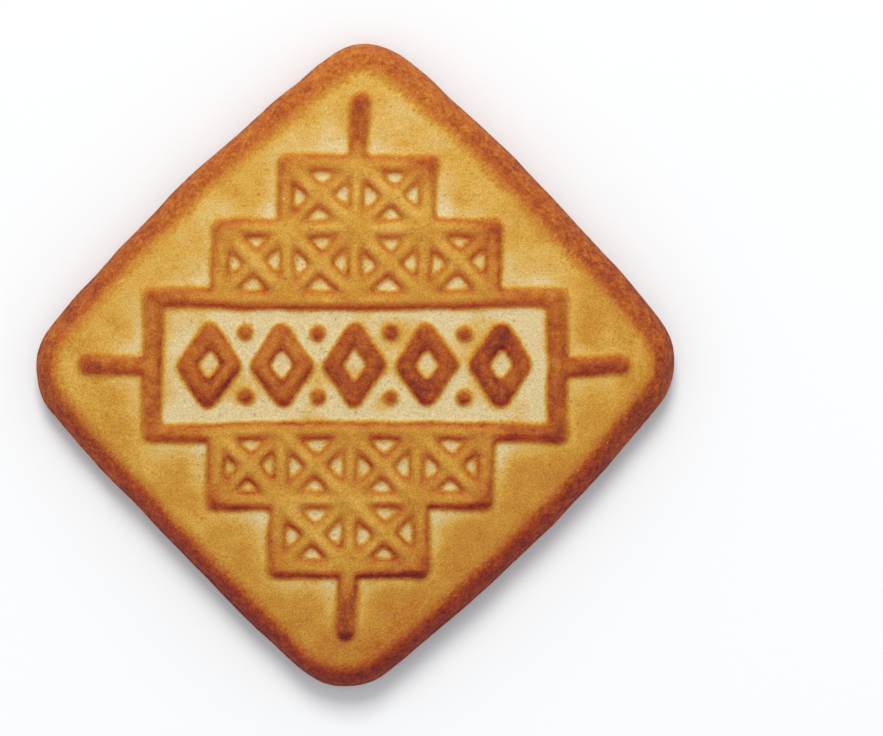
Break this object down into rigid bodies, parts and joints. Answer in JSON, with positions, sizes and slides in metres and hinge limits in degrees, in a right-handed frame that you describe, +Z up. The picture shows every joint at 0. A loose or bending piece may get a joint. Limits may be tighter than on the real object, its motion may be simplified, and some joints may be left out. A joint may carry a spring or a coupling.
{
  "type": "sugar biscuit",
  "caption": "Thick rounded-square sugar biscuit with a browned round shoulder and a raised stepped lattice, framed panel of lozenges and bars towards its corners.",
  "frame": {"origin": "middle of the flat base, under the centre of the bounding box", "axes": "+Z up out of the patterned face; +Y towards the corner that is at the top when the panel reads level; +X to the right along the panel"},
  "size_m": [0.0732, 0.0736, 0.0074],
  "materials": {
    "baked_dough": "baked short dough: matt golden yellow face, brown rounded shoulder and browned ridges, fine open grain"
  },
  "bodies": {
    "root": {"biscuit": "baked_dough"}
  },
  "joints": []
}
